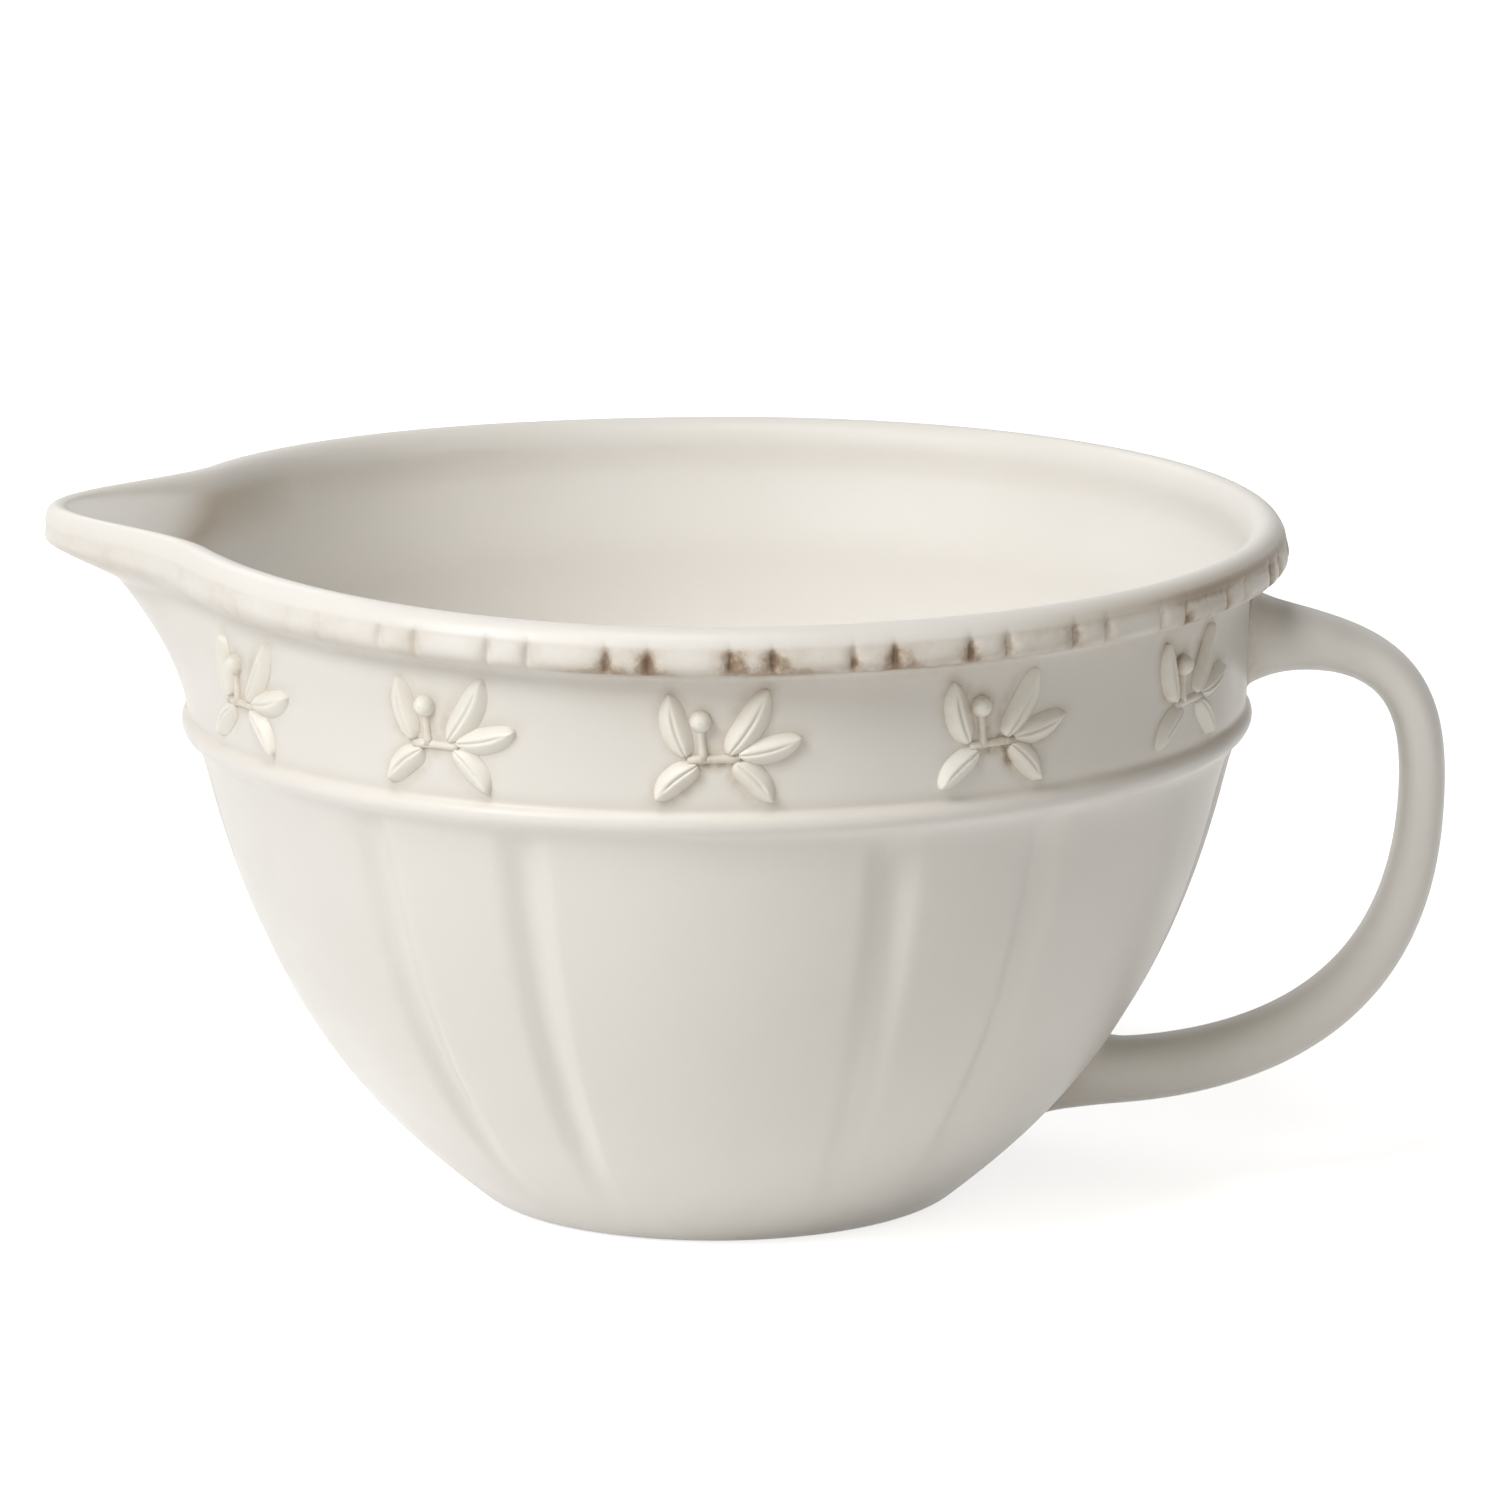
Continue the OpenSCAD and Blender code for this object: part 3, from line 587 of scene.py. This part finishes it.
# Share of a leaf's width along it: full, with a round end at the stem and a blunt tip
def leafOutline(s):
    along = np.clip(s, sprig["outlineFrom"], sprig["outlineTo"]) ** sprig["basePower"]
    return (1 - np.abs(2 * along - 1) ** sprig["sidePower"]) ** sprig["endPower"]


# How far flat places lie from the nearest leaf, stem or bud
def gapToSprig(here):
    lines = [(base, tip, sprig["leafW"] * width / 2) for base, tip, width, way in leaves]
    lines += [(start, end, sprig["stemR"]) for start, end in stems]
    gap = np.linalg.norm(here - sprigPlace(budPlace), axis=1) - sprig["budR"]
    for base, tip, half in lines:
        a, b = sprigPlace(base), sprigPlace(tip)
        t = np.clip((here - a) @ (b - a) / ((b - a) @ (b - a)), 0, 1)
        away = np.linalg.norm(here - a - t[:, None] * (b - a), axis=1)
        gap = np.minimum(gap, away - half * leafOutline(t))
    return gap


# Wash on the collar round the sprigs
def leafStain(rings, turns):
    x, y, z = np.moveaxis(rings, -1, 0)
    stain = np.zeros(z.shape)
    onBand = (z > collarLow) & (z < collarTop + sprig["stainMargin"])
    onBand &= np.hypot(x, y) > bowl["collarR"] - sprig["stainMargin"]
    for turn in sprigTurns:
        away = (turns - turn + 180) % 360 - 180
        near = onBand & (np.abs(away) < sprig["stainTurn"])[None, :]
        sideways = bowl["collarR"] * np.sin(np.radians(np.broadcast_to(away, z.shape)[near]))
        here = np.stack([sideways, z[near] - sprig["midH"]], axis=-1)
        fade = bell(np.maximum(gapToSprig(here), 0), sprig["stainReach"])
        held = washNear(here) * fade * mix(sprig["wiped"], 1, washLeft(turn))
        stain[near] = np.maximum(stain[near], held)
    return stain


# A flat line's start, end, heading and the way across it
def lineWays(start, end):
    a, b = sprigPlace(start), sprigPlace(end)
    way = (b - a) / np.linalg.norm(b - a)
    return a, b, np.array([-way[1], way[0]])


def leafRings(turn, leaf):
    base, tip, across = lineWays(leaf[0], leaf[1])
    bow = sprig["bow"] * np.linalg.norm(tip - base) * leaf[3]
    over = np.array(sprig["over"])
    over = np.concatenate([over, [0], -over[::-1]])
    side = np.concatenate([over, sprig["under"]])
    top = np.arange(len(side)) < len(over)
    rings, stain = [], []
    for s in np.linspace(sprig["leafFrom"], sprig["leafTo"], sprig["steps"]):
        outline = leafOutline(s)
        half = sprig["leafW"] * leaf[2] / 2 * outline
        height = sprig["relief"] * mix(sprig["tipHeight"], 1, outline)
        vein = bell(side, sprig["veinW"]) * ease(sprig["veinRun"] * outline * (1 - s))
        swell = height * (1 - np.abs(side) ** sprig["crownPower"]) * (1 - sprig["vein"] * vein)
        w = np.where(top, np.maximum(swell, sprig["edgeH"]), -sprig["sink"])
        flat = mix(base, tip, s) + (bow * math.sin(math.pi * s) + half * side[:, None]) * across
        held = mix(sprig["midStain"], 1, np.abs(side) ** sprig["midPower"])
        held = np.maximum(held, sprig["veinStain"] * vein)
        rings.append(onCollar(turn, flat, w))
        stain.append(washNear(flat) * np.where(top, held, 1))
    return np.array(rings), onCollar(turn, base, 0.0), onCollar(turn, tip, 0.0), np.array(stain)


def stemRings(turn, ends):
    base, tip, across = lineWays(*ends)
    phi = np.linspace(0, 2 * math.pi, sprig["stemAround"], endpoint=False)
    top = np.arange(len(phi)) <= len(phi) // 2
    rings, stain = [], []
    for s in np.linspace(0, 1, sprig["stemSteps"]):
        size = sprig["stemR"] * (1 - sprig["stemWaist"] * math.sin(math.pi * s))
        flat = mix(base, tip, s) + size * np.cos(phi)[:, None] * across
        w = np.where(top, sprig["stemRise"] * size * np.sin(phi), -sprig["sink"])
        rings.append(onCollar(turn, flat, w))
        stain.append(sprig["stemStain"] * washNear(flat))
    return np.array(rings), onCollar(turn, base, 0.0), onCollar(turn, tip, 0.0), np.array(stain)


def budRings(turn):
    middle = sprigPlace(budPlace)
    height = sprig["budRise"] * sprig["relief"]
    phi = np.linspace(0, 2 * math.pi, sprig["budAround"], endpoint=False)
    circle = sprig["budR"] * np.stack([np.cos(phi), np.sin(phi)], axis=-1)
    rings = [onCollar(turn, middle + circle, -sprig["sink"])]
    stain = [np.full(len(phi), sprig["budSeatStain"])]
    for b in np.radians(np.linspace(0, sprig["budTop"], sprig["budSteps"])):
        rings.append(onCollar(turn, middle + math.cos(b) * circle, height * math.sin(b)))
        stain.append(np.full(len(phi), sprig["budStain"] * math.cos(b) ** sprig["budStainPower"]))
    start, end = onCollar(turn, middle, -sprig["sink"]), onCollar(turn, middle, height)
    return np.array(rings), start, end, np.array(stain)


def makeSprig(number, turn):
    parts = [leafRings(turn, leaf) for leaf in leaves]
    parts += [stemRings(turn, ends) for ends in stems]
    parts += [budRings(turn)]
    points, faces, wash = [], [], []
    for rings, start, end, stain in parts:
        morePoints, moreFaces = ringSkin(rings, start, end, len(points))
        points += morePoints.tolist()
        faces += moreFaces
        wash += stain.ravel().tolist() + [sprig["endStain"]] * 2
    wash = np.array(wash) * mix(sprig["wiped"], 1, washLeft(turn))
    name = f"sprig_{number:02d}"
    newPiece("leaf_" + name, points, faces, {"wash": wash}, sprigGlaze, [name])


# Handle: a loop of two bends, each end flared and run out on the bowl with a fillet
handle = {
    # where the loop runs, and how far it keeps its way at the ends of its two bends
    "topH": 112.5, "lowH": 23, "reach": 141, "reachH": 84,
    "armRun": 28, "bendRun": 18.5, "dropRun": 24.5, "lowRun": 62,
    # thickness and width, and what they gain at the upper root and the lower one
    "t": 9.2, "w": 15, "rootT": 8, "rootW": 6, "lowT": 4, "lowW": 2,
    "flarePower": 3, "ovalPower": 0.85, "around": 48, "bendSteps": 54,
    # roots, from where each fillet starts on its bend
    "fillet": 2.2, "sink": 0.5, "capSink": 1.5, "rootSteps": 9, "topFrom": 0.1, "lowTo": 0.925,
    "softPasses": 4, "softFrom": 3, "rootStain": 0.3, "stainFall": 3, "stainedRings": 7,
}


def handleBends():
    h = handle
    topR, lowR = bowl["collarR"], float(outsideR(h["lowH"]))
    upper = [
        (topR, h["topH"]),
        (topR + h["armRun"], h["topH"]),
        (h["reach"], h["reachH"] + h["bendRun"]),
        (h["reach"], h["reachH"]),
    ]
    lower = [
        (h["reach"], h["reachH"]),
        (h["reach"], h["reachH"] - h["dropRun"]),
        (lowR + h["lowRun"], h["lowH"]),
        (lowR, h["lowH"]),
    ]
    return np.array(upper, float), np.array(lower, float)


# Half the thickness and half the width along the two bends
def upperSize(s):
    h, power = handle, handle["flarePower"]
    thick = h["t"] + h["rootT"] * (1 - s) ** (2 * power)
    return np.array([thick, h["w"] + h["rootW"] * (1 - s) ** power]) / 2


def lowerSize(s):
    h, power = handle, handle["flarePower"]
    thick = h["t"] + h["lowT"] * s ** (power / 2)
    return np.array([thick, h["w"] + h["lowW"] * s ** power]) / 2


def oval(size):
    a = np.linspace(0, 2 * math.pi, handle["around"], endpoint=False)
    thick = np.sign(np.cos(a)) * np.abs(np.cos(a)) ** handle["ovalPower"]
    wide = np.sign(np.sin(a)) * np.abs(np.sin(a)) ** handle["ovalPower"]
    return size[0] * thick, size[1] * wide


def loopRing(bend, t, size):
    p, way = curvePoint(bend, t), curveHeading(bend, t)
    thick, wide = oval(size)
    return np.stack([p[0] - way[1] * thick, -wide, p[1] + way[0] * thick], axis=-1)


# A ring laid on the bowl's outside; side is 1 on the collar and -1 on the body
def rootRing(z, size, side, sink):
    thick, wide = oval(size)
    h = z + side * thick
    return np.stack([np.sqrt((outsideR(h) - sink) ** 2 - wide ** 2), -wide, h], axis=-1)


# Rings from the loop's own end out to the bowl, widening as a fillet does
def rootRun(bend, t, size, z, rootSize, side):
    rings = []
    for s in np.linspace(0, 1, handle["rootSteps"])[1:]:
        more = handle["fillet"] * (1 - math.sqrt(1 - s * s))
        onBowl = rootRing(z, rootSize + more, side, handle["sink"])
        rings.append(mix(loopRing(bend, t, size + more), onBowl, s))
    return rings


def makeHandle():
    h = handle
    upper, lower = handleBends()
    top = rootRun(upper, h["topFrom"], upperSize(h["topFrom"]), h["topH"], upperSize(0), 1)
    low = rootRun(lower, h["lowTo"], lowerSize(h["lowTo"]), h["lowH"], lowerSize(1), -1)
    upperSteps = np.linspace(h["topFrom"], 1, h["bendSteps"])
    lowerSteps = np.linspace(0, h["lowTo"], h["bendSteps"])[1:]
    rings = top[::-1]
    rings += [loopRing(upper, t, upperSize(t)) for t in upperSteps]
    rings += [loopRing(lower, t, lowerSize(t)) for t in lowerSteps]
    rings = np.array(rings + low)
    rings = soften(rings, h["softPasses"], h["softFrom"], len(rings) - h["softFrom"])

    # a little wash stays round both roots
    fromEnd = np.minimum(np.arange(len(rings)), np.arange(len(rings))[::-1])
    held = h["rootStain"] * bell(fromEnd, h["stainFall"]) * (fromEnd < h["stainedRings"])
    wash = np.append(np.repeat(held, h["around"]), [0, 0])
    start = rootRing(h["topH"], np.zeros(2), 1, h["capSink"])[0]
    end = rootRing(h["lowH"], np.zeros(2), -1, h["capSink"])[0]
    points, faces = ringSkin(rings, start, end)
    newPiece("loop_handle", points, faces, {"wash": wash}, creamGlaze, ["handle"])


makeBowl()
print("bowl thrown")
makeHandle()
print("handle luted on")
for i, turn in enumerate(sprigTurns):
    makeSprig(i + 1, turn)
print("sprigs laid:", len(sprigTurns))

# Studio: a white floor, a large soft lamp from the left, another over the camera, a weak
# one from behind, and soft light all round that is strongest in front
studio = {
    "floorSize": 14, "floorColour": (0.93, 0.93, 0.93), "floorGlow": 0.75,
    "fill": 0.07, "frontFill": 0.48, "frontPower": 2, "fillColour": (1, 0.94, 0.82),
    "aim": (0, 0, 0.08), "lampSize": 1.2,
    "keyPower": 48, "keyPlace": (-1.81, -1.52, 1.93),
    "overPower": 28, "overPlace": (-0.43, -1.19, 2.8),
    "backPower": 12, "backPlace": (-1.15, 1.99, 2.01),
}


def softLamp(name, place, power):
    data = bpy.data.lights.new(name, "AREA")
    data.shape = "DISK"
    data.size = studio["lampSize"]
    data.energy = power
    lamp = bpy.data.objects.new(name, data)
    bpy.context.scene.collection.objects.link(lamp)
    lamp.location = place
    lamp.rotation_euler = (Vector(studio["aim"]) - Vector(place)).to_track_quat("-Z", "Y").to_euler()
    lamp.visible_camera = False


# 1 for the rays that show the background itself, by sight, reflection or through glass
def seenRay(tree):
    ray = tree.nodes.new("ShaderNodeLightPath").outputs
    byGloss = maths(tree, "MAXIMUM", ray["Is Camera Ray"], ray["Is Glossy Ray"])
    return maths(tree, "MAXIMUM", byGloss, ray["Is Transmission Ray"])


def makeFloor():
    half = studio["floorSize"] / 2
    corners = [(-half, -half, 0), (half, -half, 0), (half, half, 0), (-half, half, 0)]
    mesh = bpy.data.meshes.new("floor")
    mesh.from_pydata(corners, [], [(0, 1, 2, 3)])
    material = bpy.data.materials.new("whiteFloor")
    material.use_nodes = True
    tree = material.node_tree
    tree.nodes.clear()
    out = tree.nodes.new("ShaderNodeOutputMaterial")
    paper = tree.nodes.new("ShaderNodeBsdfDiffuse")
    paper.inputs["Color"].default_value = (*studio["floorColour"], 1)
    glow = tree.nodes.new("ShaderNodeEmission")
    link(tree, maths(tree, "MULTIPLY", seenRay(tree), studio["floorGlow"]), glow.inputs["Strength"])
    both = tree.nodes.new("ShaderNodeAddShader")
    link(tree, paper.outputs[0], both.inputs[0])
    link(tree, glow.outputs[0], both.inputs[1])
    link(tree, both.outputs[0], out.inputs["Surface"])
    mesh.materials.append(material)
    floor = bpy.data.objects.new("floor", mesh)
    bpy.context.scene.collection.objects.link(floor)


def makeWorld():
    world = bpy.data.worlds.new("studio")
    bpy.context.scene.world = world
    world.use_nodes = True
    tree = world.node_tree
    way = tree.nodes.new("ShaderNodeSeparateXYZ")
    link(tree, tree.nodes.new("ShaderNodeTexCoord").outputs["Generated"], way.inputs[0])
    front = maths(tree, "POWER", maths(tree, "MULTIPLY", way.outputs["Y"], -1, True), studio["frontPower"])
    light = maths(tree, "ADD", maths(tree, "MULTIPLY", front, studio["frontFill"]), studio["fill"])
    fill = blendColour(tree, light, (0, 0, 0), studio["fillColour"])
    seen = blendColour(tree, seenRay(tree), fill, (1, 1, 1))
    link(tree, seen, tree.nodes["Background"].inputs["Color"])


# Camera at the photograph's place: low, a little above the rim, from the side
camera = {
    "distance": 2.2, "elevation": 12.7, "axisH": 0.07, "lens": 263.6, "sensor": 36,
    "clipEnd": 50, "roll": 0.25, "lookAt": (0.0066, 0.0042, 0.0886),
}


def makeCamera():
    data = bpy.data.cameras.new("camera")
    data.lens = camera["lens"]
    data.sensor_width = camera["sensor"]
    data.clip_end = camera["clipEnd"]
    eye = bpy.data.objects.new("camera", data)
    bpy.context.scene.collection.objects.link(eye)
    e = math.radians(camera["elevation"])
    back, up = camera["distance"] * math.cos(e), camera["distance"] * math.sin(e)
    eye.location = (0, -back, camera["axisH"] + up)
    look = (Vector(camera["lookAt"]) - eye.location).to_track_quat("-Z", "Y").to_matrix()
    roll = Matrix.Rotation(math.radians(-camera["roll"]), 3, "Z")
    eye.rotation_euler = (look @ roll).to_euler()
    bpy.context.scene.camera = eye


makeFloor()
makeWorld()
softLamp("keyLamp", studio["keyPlace"], studio["keyPower"])
softLamp("overLamp", studio["overPlace"], studio["overPower"])
softLamp("backLamp", studio["backPlace"], studio["backPower"])
makeCamera()
bpy.context.scene.view_settings.view_transform = "Standard"
print("studio lit")
